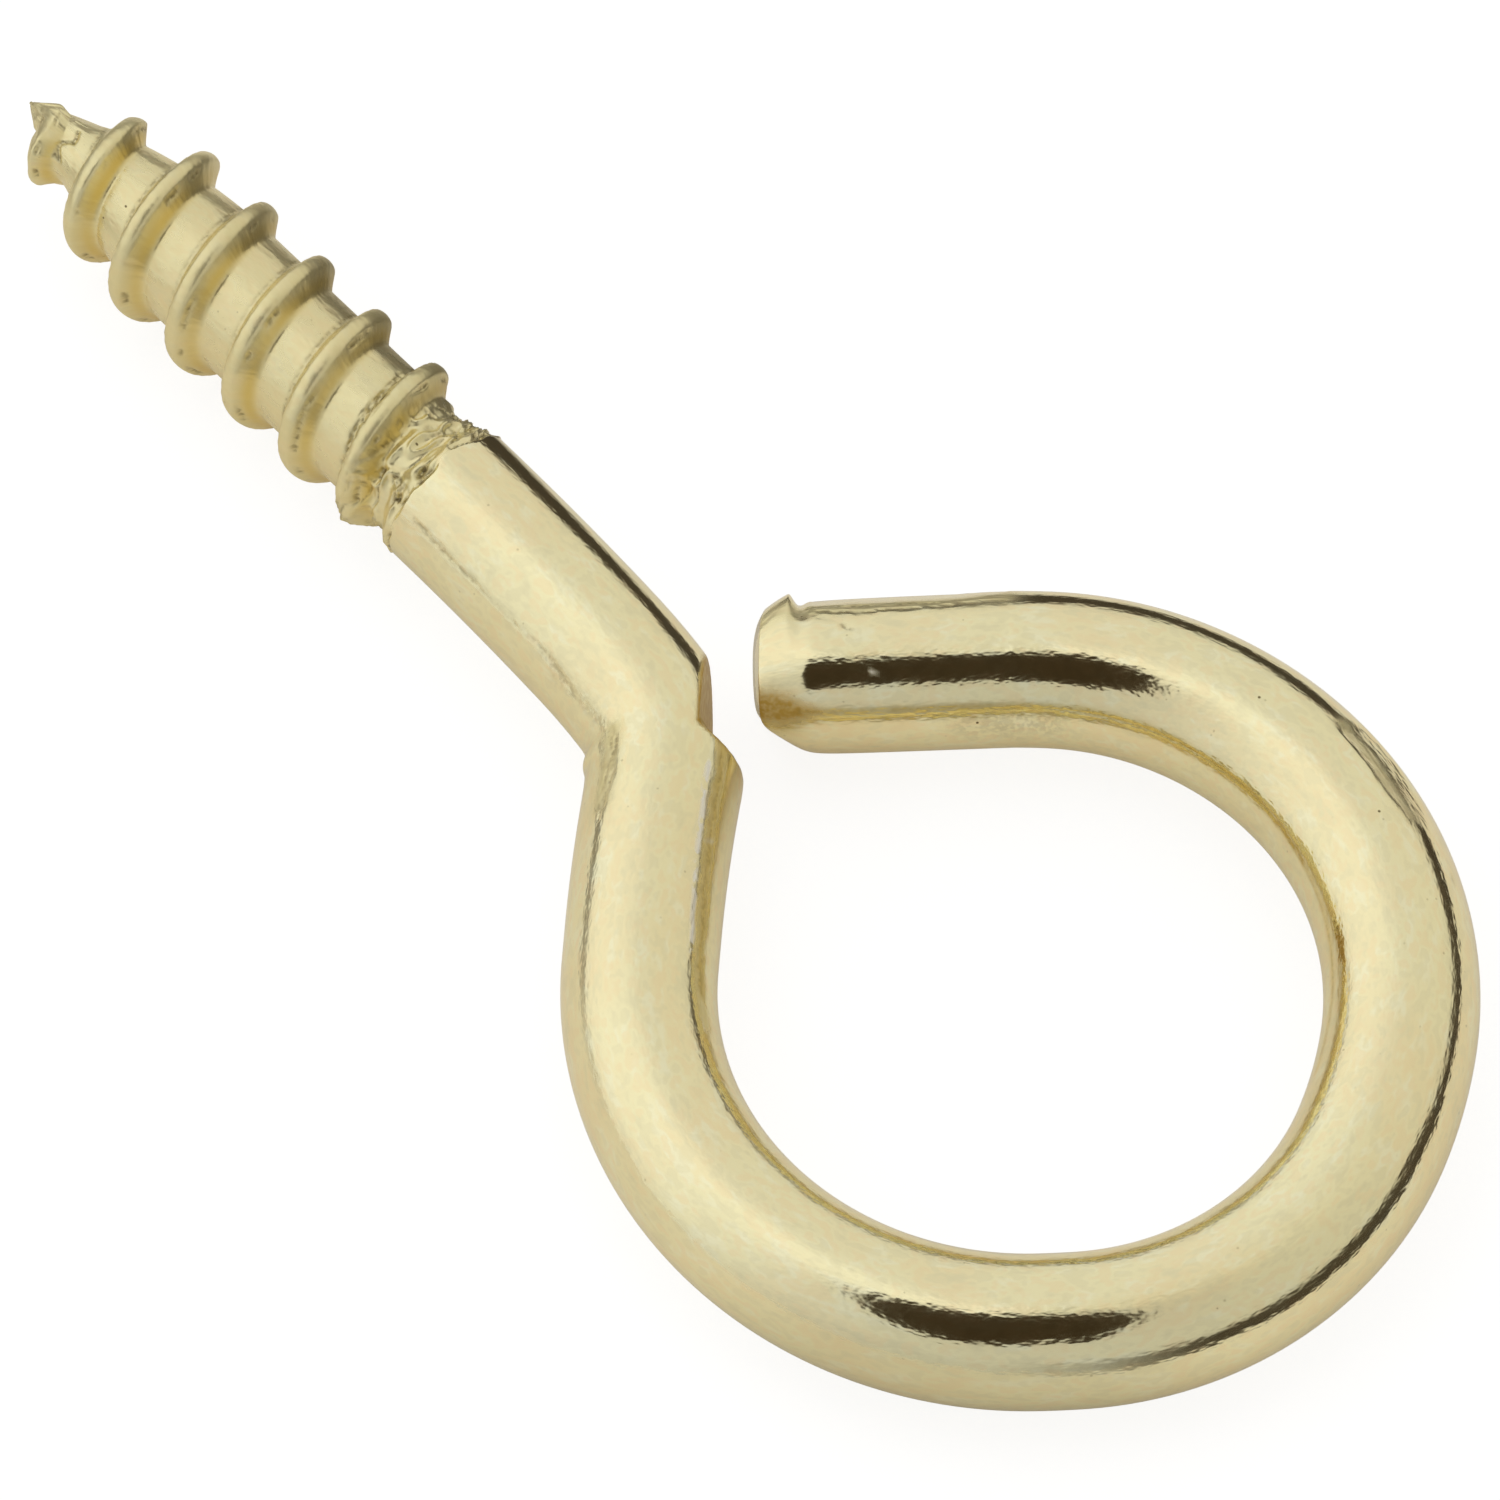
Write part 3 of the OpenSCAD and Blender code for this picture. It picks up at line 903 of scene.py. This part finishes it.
@dataclass
class ScrewEye:
    """The whole screw eye: one closed skin round the wire, from its point to its cut end."""

    path: WirePath = field(default_factory=WirePath)
    columns: int = 124
    finish: BrightBrass = field(default_factory=BrightBrass)
    marks: tuple[Mark, ...] = (
        NECK_FOLDS + SHANK_SEAM + DIE_LINES + POINT_SPLITS + CAVITIES + KNOCKS_AND_PAINTED_LIGHT
    )
    flats: tuple[ToolFlat, ...] = (
        ToolFlat(43.7, 46.65, 134.0, 0.085, (1.2, 0.25)),
        ToolFlat(53.8, 58.6, 143.0, 0.075, (1.6, 0.5)),
    )
    bulges: tuple[Bulge, ...] = (
        Bulge(58.49, 0.12, 142.0, 24.0, -0.09),
        Bulge(8.6, 0.5, 180.0, 40.0, 0.1),
    )
    dragged: DraggedEnd = DraggedEnd()
    pull: float = 0.3
    point_run: Pair = (-11.2, -12.0)
    bite_run: Pair = (5.0, 13.0)
    shear_from: float = 54.0

    def __post_init__(self) -> None:
        """Fits the thread and the cut-off to the wire."""
        self.thread = WoodThread(wire_r=self.path.wire_r)
        self.cut = CutOff(self.path)

    def stations(self) -> Array:
        """Distances of the rings along the wire, closer together where there is more to show."""
        runs = [
            Stretch(-self.thread.length, -10.8, 0.035),
            Stretch(-10.8, -2.3, 0.052),
            Stretch(-2.3, 0.5, 0.026),
            Stretch(0.5, 1.6, 0.08),
            Stretch(1.6, 5.4, 0.2),
            Stretch(5.4, 13.0, 0.07),
            Stretch(13.0, 43.0, 0.25),
            Stretch(43.0, 47.2, 0.09),
            Stretch(47.2, 53.0, 0.2),
            Stretch(53.0, 58.2, 0.1),
            Stretch(58.2, self.path.total, 0.03),
        ]
        parts = [np.arange(run.start, run.stop - run.step / 2.0, run.step) for run in runs]
        return np.concatenate([*parts, [self.path.total]])

    def angles(self) -> Array:
        """Angles round the wire, in degrees from its left side over its top.

        Equal steps are pulled towards the top by a sine of the angle, so that the upper side
        has more of them.
        """
        even = np.linspace(0.0, 2.0 * math.pi, self.columns, endpoint=False)
        return np.degrees(even + self.pull * np.cos(even))

    def swell(self, s: Array, a: Array) -> Array:
        """How far the wire is from its nominal radius: what is dragged or swollen, less flats."""
        flats = sum(flat.sink(s, a, self.path.wire_r) for flat in self.flats)
        bulges = sum(bulge.rise(s, a) for bulge in self.bulges)
        return self.dragged.rise(s, a) + bulges - flats

    def torn(self, s: Array, grain: Array) -> Array:
        """How torn the metal is, from 0 to 1, where the thread runs out into the shank."""
        edge = 0.1 * lattice_noise(grain * 2.3, Seed.TORN_EDGE)
        return ease(s + edge, -1.45, -1.05) * ease(s + edge, 0.17, 0.07)

    @staticmethod
    def folds(torn: Array, grain: Array) -> tuple[Array, Array]:
        """Folds, lumps and cracks of torn metal, drawn out round the wire.

        Folds are sharp-crested noise on a bent lattice; cracks are thin lines where a finer
        noise passes through nothing, in patches.

        Args:
            torn: how torn the metal is, from 0 to 1.
            grain: the skin's own coordinates.
        Returns:
            The change of radius, and how dirty it is.
        """
        drift = 0.6 * lattice_noise(grain * 1.5, Seed.DRIFT)[..., None]
        bent = grain * np.array([1.6, 1.6, 3.6]) + drift
        passing = np.abs(lattice_noise(bent * 1.4 + 5.0, Seed.CRACK))
        line = np.clip(1.0 - passing * 5.0, 0.0, 1.0)
        patch = ease(lattice_noise(grain * 1.4, Seed.PATCH), -0.45, 0.1)
        crack = line * patch
        rise = 0.14 * creased(bent, Seed.FOLD) ** 1.4 - 0.11 - 0.08 * crack
        rise = rise + 0.012 * lattice_noise(grain * 7.0, Seed.GRIT)
        return torn * rise, torn * crack * 0.9

    def ridge_wear(self, x: Array, a: Array, grain: Array) -> tuple[Array, Array]:
        """Splits along the ridge's crest, grime at its foot, and painted shade on one side of the
        thread.

        Args:
            x: distance from the thread's base towards its point.
            a: angles round the wire.
            grain: the skin's own coordinates.
        Returns:
            The change of radius, and how dirty it is, with painted shade on one side.
        """
        place = self.thread.place(x, (180.0 - a) / 360.0)
        threaded = ease(x, 0.5, 1.0) * ease(x, 12.7, 12.0)
        patchy = ease(lattice_noise(grain * 1.3, Seed.SOIL), -0.3, 0.5)
        here = ease(lattice_noise(grain * 2.4, Seed.SPLIT), 0.2, 0.45)
        split = here * hump(place, -0.25, 0.035)
        foot = hump(place, 0.45, 0.04) * (0.15 + 0.35 * patchy)
        rough = hump(place, 0.3, 0.14) * ease(x, 2.75, 2.3)
        cells = np.clip(1.0 - np.abs(lattice_noise(grain * 5.0, Seed.CELL)) * 3.5, 0.0, 1.0)
        # Painted shade: a patchy darkening on the thread's upper left side, about 35 degrees round
        # from its left.
        dark_patch = ease(lattice_noise(grain * 0.9, Seed.SIDE_SHADE), 0.1, 0.7)
        dark_patch = dark_patch * hump(turned(a, 35.0), 0.0, 28.0)
        sunk = 0.04 * split + 0.13 * rough * cells
        dirt = np.maximum(0.7 * split, np.maximum(foot, rough * (0.45 + 0.55 * cells)))
        return -threaded * sunk, threaded * np.clip(dirt + 0.3 * dark_patch, 0.0, 1.0)

    def painted_gold_flank(self, x: Array, a: Array, grain: Array) -> Array:
        """How strong the painted gold reflection is, from 0 to 1: it gathers in the ridge's
        eye-side flank.
        """
        place = self.thread.place(x, (180.0 - a) / 360.0)
        uneven = 0.75 + 0.35 * lattice_noise(grain * 1.1, Seed.GOLD_FLANK)
        reach = ease(x, 0.4, 0.9) * ease(x, 12.3, 11.8)
        return reach * hump(place, -0.4, 0.13) * np.clip(uneven, 0.0, 1.0)

    def dulled(self, x: Array, a: Array) -> Array:
        """How dull the rolled thread is, from 0 to 1: a little more so on the ridge."""
        place = self.thread.place(x, (180.0 - a) / 360.0)
        return ease(x, -0.1, 0.15) * (0.75 - 0.2 * ease(np.abs(place), 0.3, 0.6))

    def skin(self) -> tuple[Array, dict[str, Array]]:
        """Carries the wire's section along its path.

        A point is its station's centre, plus its radius times the cosine of its angle to the
        wire's left side and the sine of it upwards.

        Returns:
            Points, rings by columns, and the attributes that the finish reads.
        """
        s = self.stations()[:, None]
        a = self.angles()[None, :]
        pose = self.path.at(s[:, 0])
        wire_r = self.path.wire_r
        x = np.broadcast_to(-s, (s.size, a.size))
        threaded = self.thread.radius(x, (180.0 - a) / 360.0)
        radius = np.where(x > 0.0, threaded, wire_r)
        rad = np.radians(a)
        around = np.stack([np.cos(rad) + 0.0 * s, np.sin(rad) + 0.0 * s, 0.0 * (s + a)], axis=-1)
        grain = around * wire_r
        grain[..., 2] = s
        torn = self.torn(s, grain)
        fold, dirt = self.folds(torn, grain)
        wear, soil_and_shade = self.ridge_wear(x, a, grain)
        dirt = np.maximum(dirt, soil_and_shade)
        radius = radius + self.swell(s, a) + fold + wear
        crumpled = 0.05 * creased(grain * 1.6, Seed.POINT) - 0.025
        point = ease(s, *self.point_run) * np.clip(radius / 0.5, 0.0, 1.0)
        radius = radius + point * crumpled
        stray = lattice_noise(grain * 4.0, Seed.STRAY)
        # The grime layer also carries painted shade, the gold layer is a painted reflection, and
        # the pale layer holds white specks and painted glints.
        layers = {"dirt": dirt, "gilt": self.painted_gold_flank(x, a, grain), "pale": np.zeros_like(radius)}
        layers["worn"] = np.maximum(self.dulled(x, a), 0.6 * torn)
        for mark in self.marks:
            strength = mark.strength(s, a, wire_r, stray)
            radius = radius - mark.depth * strength
            layer = layers[mark.tint.value]
            np.maximum(layer, mark.share * strength, out=layer)
        left = np.stack([-np.sin(pose[:, 2]), np.cos(pose[:, 2]), 0.0 * pose[:, 2]], axis=-1)
        up = np.array([0.0, 0.0, 1.0])
        centre = np.concatenate([pose[:, :2], np.zeros((s.size, 1))], axis=1)
        spoke = around[..., :1] * left[:, None] + around[..., 1:2] * up
        points = centre[:, None] + radius[..., None] * spoke
        stain = np.zeros_like(radius)
        near_neck = (s[:, 0] > self.bite_run[0]) & (s[:, 0] < self.bite_run[1])
        points[near_neck], stain[near_neck] = self.cut.bite(points[near_neck])
        near_end = s[:, 0] > self.shear_from
        points[near_end], stain[near_end] = self.cut.shear(points[near_end])
        return points, {"grain": grain, "stain": stain, **layers}

    def build(self) -> bpy.types.Object:
        """Puts the skin into a mesh, closes both ends, and dresses it."""
        points, marks = self.skin()
        rows, columns = points.shape[:2]
        caps = []
        end = points[-1].mean(axis=0)
        for share in (0.75, 0.5, 0.25):
            caps.append(end + (points[-1] - end) * share)
        points = np.concatenate([points, np.stack(caps)], axis=0)
        for name, values in marks.items():
            last = np.repeat(values[-1:], len(caps), axis=0)
            marks[name] = np.concatenate([values, last], axis=0)
        rows += len(caps)
        tip = points[0].mean(axis=0)
        flat = np.concatenate([points.reshape(-1, 3), [tip], [end]], axis=0)
        flat[:, :2] -= self.path.middle
        ring = np.arange(columns)
        after = (ring + 1) % columns
        row = np.arange(rows - 1)[:, None] * columns
        below, beside = row + ring, row + after
        quads = np.stack([below, beside, beside + columns, below + columns], axis=-1)
        base = rows * columns
        last = (rows - 1) * columns
        tip_fan = np.stack([after, ring, np.full_like(ring, base)], axis=-1)
        end_fan = np.stack([last + ring, last + after, np.full_like(ring, base + 1)], axis=-1)
        mesh = bpy.data.meshes.new("wire")
        faces = quads.reshape(-1, 4).tolist() + tip_fan.tolist() + end_fan.tolist()
        mesh.from_pydata((flat * MM).tolist(), [], faces)
        for name, values in marks.items():
            self._mark(mesh, name, values)
        mesh.polygons.foreach_set("use_smooth", np.ones(len(mesh.polygons), dtype=bool))
        mesh.update()
        made = bpy.data.objects.new("wire", mesh)
        bpy.context.scene.collection.objects.link(made)
        mesh.materials.append(self.finish.material("brass_plating"))
        return made

    @staticmethod
    def _mark(mesh: bpy.types.Mesh, name: str, values: Array) -> None:
        """Stores an attribute on the mesh's points, and gives the two poles their ring's."""
        if values.ndim == 3:
            kind, key, width = "FLOAT_VECTOR", "vector", 3
        else:
            kind, key, width = "FLOAT", "value", 1
        flat = values.reshape(-1, width)
        flat = np.concatenate([flat, flat[:1], flat[-1:]], axis=0)
        made = mesh.attributes.new(name, kind, "POINT")
        made.data.foreach_set(key, flat.ravel().astype(np.float32))


@dataclass
class Studio:
    """A pale table in a soft white tent, with a dark opening that the camera looks in by.

    Azimuths are in degrees, from the camera's side to the right of it. The frame and the aims
    are in millimetres, other lengths in metres. A pair is where something starts and is full.
    """

    heading: float = 132.68
    elevation: float = 60.63
    frame_w: float = 32.683655
    aim_right: float = -6.076
    aim_up: float = 5.556
    distance: float = 1.4
    sensor: float = 36.0
    paper: Triple = (0.99, 0.95, 0.9)
    paper_painted_shade: Triple = (0.78, 0.75, 0.7)
    gloom: Triple = (0.04, 0.028, 0.016)
    glow: float = 0.06
    seen_paint: float = 0.3
    seen_glow: float = 0.85
    table_half: float = 0.8
    gap_dark: float = 0.95
    gap_far: Pair = (0.03, 0.045)
    painted_shadow_away: Pair = (0.0155, 0.0185)
    painted_shadow_right: Pair = (-0.017, -0.01)
    gap_height: Pair = (0.3, 0.14)
    tent_level: float = 0.674
    tent_left: float = 0.244
    tent_front: float = 0.116
    tent_back: float = 0.07
    tent_low: float = 0.12
    tent_warm: Triple = (1.0, 0.97, 0.9)
    opening_at: Pair = (-10.8, 63.0)
    opening_half: Pair = (0.295, 0.39)
    opening_rim: Pair = (1.06, 0.94)

    def direction(self, azimuth: float, elevation: float) -> Array:
        """A unit vector in the studio: azimuth from the camera's side to the right of it."""
        a, e = math.radians(azimuth), math.radians(elevation)
        return np.array([math.cos(e) * math.sin(a), -math.cos(e) * math.cos(a), math.sin(e)])

    def placed(self, vector: Array) -> Array:
        """A studio vector (right, away, up) in the object's axes."""
        h = math.radians(-self.heading)
        cos, sin = math.cos(h), math.sin(h)
        return np.array([[cos, -sin, 0.0], [sin, cos, 0.0], [0.0, 0.0, 1.0]]) @ vector

    def toward(
        self, sheet: NodeSheet, way: Socket, azimuth: float, seated: bool = False
    ) -> Socket:
        """How far a direction leans to an azimuth: its dot product with the level aim.

        Args:
            sheet: the sheet that gets the nodes.
            way: the direction.
            azimuth: where to aim.
            seated: whether way is in the object's axes, and not in the studio's.
        Returns:
            The dot product.
        """
        aim = self.direction(azimuth, 0.0)
        return sheet.dot(way, tuple(self.placed(aim) if seated else aim))

    def gap_side(self, sheet: NodeSheet, way: Socket, seated: bool = False) -> Socket:
        """Where the dark gap runs round the studio: from 1 along it to 0 in its opening.

        It is open from the left side to the front, and fades at both ends.

        Args:
            sheet: the sheet that gets the nodes.
            way: a level direction.
            seated: whether way is in the object's axes, and not in the studio's.
        Returns:
            The gap's strength.
        """
        left = sheet.ramp(self.toward(sheet, way, -25.0, seated), -0.5, 0.45)
        front = sheet.ramp(self.toward(sheet, way, -80.0, seated), -0.45, 0.35)
        return sheet.minus(1.0, sheet.times(left, front))

    def camera(self) -> None:
        """A long lens, at the height and side that the eye is best seen from."""
        back = self.direction(0.0, self.elevation)
        right = np.array([1.0, 0.0, 0.0])
        up = np.cross(back, right)
        aim = self.placed(right * self.aim_right + up * self.aim_up) * MM
        axes = np.stack([self.placed(right), self.placed(up), self.placed(back)], axis=1)
        lens = bpy.data.cameras.new("camera")
        lens.sensor_width = self.sensor
        lens.lens = self.sensor * self.distance / (self.frame_w * MM)
        lens.clip_start = 0.01
        lens.clip_end = 10.0
        made = bpy.data.objects.new("camera", lens)
        matrix = np.eye(4)
        matrix[:3, :3] = axes
        matrix[:3, 3] = aim + self.placed(back) * self.distance
        made.matrix_world = Matrix(matrix.tolist())
        bpy.context.scene.collection.objects.link(made)
        bpy.context.scene.camera = made

    def table(self, height: float) -> bpy.types.Object:
        """A flat white table top that keeps the object's shadow.

        Reflections see it dark past the tent's gap and in a painted shadow behind the object, with
        painted shade towards the front. The camera sees it white.

        Args:
            height: where its face lies, in metres.
        Returns:
            The table's object.
        """
        half = self.table_half
        mesh = bpy.data.meshes.new("table")
        sides = ((-half, -half), (half, -half), (half, half), (-half, half))
        mesh.from_pydata([(*side, height) for side in sides], [], [(0, 1, 2, 3)])
        made = bpy.data.objects.new("table", mesh)
        bpy.context.scene.collection.objects.link(made)
        material = bpy.data.materials.new("table_white")
        material.use_nodes = True
        sheet = NodeSheet(material.node_tree)
        ramp, times, mix = sheet.ramp, sheet.times, sheet.mix
        place = sheet.add("ShaderNodeTexCoord").outputs["Object"]
        way = sheet.vector("NORMALIZE", place).outputs["Vector"]
        reach = sheet.vector("LENGTH", place).outputs["Value"]
        far = times(self.gap_side(sheet, way, True), ramp(reach, *self.gap_far))
        # Painted shadow: a dark zone on the table behind the object, except well to its left, seen
        # only in reflections.
        away = ramp(self.toward(sheet, place, 180.0, True), *self.painted_shadow_away)
        right = ramp(self.toward(sheet, place, 90.0, True), *self.painted_shadow_right)
        dim = sheet.larger(far, times(away, right))
        # Painted shade: the paper darkens towards the front, standing in for the shaded table
        # inside and before the loop.
        front = ramp(self.toward(sheet, way, -10.0, True), 0.7, 1.0)
        pale = mix(front, self.paper, self.paper_painted_shade)
        lit = sheet.add("ShaderNodeBsdfDiffuse")
        shaded = mix(times(dim, self.gap_dark), pale, self.gloom)
        sheet.join(shaded, lit.inputs["Color"])
        light = sheet.add("ShaderNodeEmission", Strength=self.glow)
        sheet.join(mix(dim, self.paper, (0.0, 0.0, 0.0)), light.inputs["Color"])
        faint = sheet.add("ShaderNodeBsdfDiffuse", Color=(*[self.seen_paint] * 3, 1.0))
        bright = sheet.add("ShaderNodeEmission", Strength=self.seen_glow)
        seen = sheet.add("ShaderNodeLightPath").outputs["Is Camera Ray"]
        blend = sheet.add("ShaderNodeMixShader")
        parts = (seen, sheet.both(lit, light), sheet.both(faint, bright))
        for source, socket in zip(parts, blend.inputs):
            sheet.join(source, socket)
        sheet.finish(blend.outputs[0])
        mesh.materials.append(material)
        return made

    def surroundings(self) -> None:
        """The tent: a soft white wall, brighter on the left, over a dark gap at the table's edge.

        A round dark opening stands where the camera looks in. The camera itself sees white.
        """
        world = bpy.data.worlds.new("tent")
        bpy.context.scene.world = world
        world.use_nodes = True
        sheet = NodeSheet(world.node_tree)
        ramp, times, plus, mix = sheet.ramp, sheet.times, sheet.plus, sheet.mix
        spin = sheet.add("ShaderNodeVectorRotate")
        spin.rotation_type = "Z_AXIS"
        sheet.join(sheet.add("ShaderNodeTexCoord").outputs["Generated"], spin.inputs["Vector"])
        spin.inputs["Angle"].default_value = math.radians(self.heading)
        way = spin.outputs["Vector"]
        level = sheet.vector("NORMALIZE", sheet.scaled(way, (1.0, 1.0, 0.0))).outputs["Vector"]
        height = sheet.dot(way, (0.0, 0.0, 1.0))
        left, front, back, right = (
            sheet.larger(self.toward(sheet, level, azimuth), 0.0)
            for azimuth in (-105.0, 10.0, 180.0, 100.0)
        )
        tent = plus(times(times(left, left), self.tent_left), self.tent_level)
        tent = sheet.minus(tent, times(front, self.tent_front))
        tent = plus(tent, times(back, self.tent_back))
        low = times(ramp(height, 0.45, -0.05), self.tent_low)
        tent = times(tent, sheet.minus(1.0, low))
        tent = mix(right, tent, sheet.scaled(tent, self.tent_warm))
        lift = times(ramp(self.toward(sheet, level, -145.0), -0.2, 0.5), 0.155)
        notch = times(ramp(self.toward(sheet, level, 112.0), 0.95, 0.99), 0.08)
        raised = plus(height, plus(lift, notch))
        gap = times(self.gap_side(sheet, level), ramp(raised, *self.gap_height))
        centre = self.direction(*self.opening_at)
        aside = math.radians(self.opening_at[0])
        rightward = np.array([math.cos(aside), math.sin(aside), 0.0])
        u, v = (
            times(sheet.dot(way, tuple(axis)), 1.0 / half)
            for axis, half in zip((rightward, np.cross(centre, rightward)), self.opening_half)
        )
        reach = sheet.math("SQRT", plus(times(u, u), times(v, v)))
        facing = ramp(sheet.dot(way, tuple(centre)), 0.0, 0.1)
        opening = times(ramp(reach, *self.opening_rim), facing)
        dark = sheet.larger(times(gap, self.gap_dark), opening)
        tent = mix(dark, tent, self.gloom)
        seen = sheet.add("ShaderNodeLightPath").outputs["Is Camera Ray"]
        sky = sheet.add("ShaderNodeBackground", Strength=1.0)
        sheet.join(mix(seen, tent, (1.0, 1.0, 1.0)), sky.inputs["Color"])
        sheet.finish(sky.outputs[0], "ShaderNodeOutputWorld")


def main() -> None:
    """Builds the screw eye and then the studio round it."""
    logging.basicConfig(level=logging.INFO, format="%(message)s")
    bpy.context.scene.view_settings.view_transform = "Standard"
    wire = ScrewEye().build()
    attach(wire, "root")
    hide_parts("screw_eye")
    LOG.info("wire: %d faces", len(wire.data.polygons))
    studio = Studio()
    table = studio.table(min(corner[2] for corner in CAD_BOX))
    LOG.info("table")
    studio.surroundings()
    studio.camera()
    LOG.info("studio and camera")


if __name__ == "__main__":
    main()
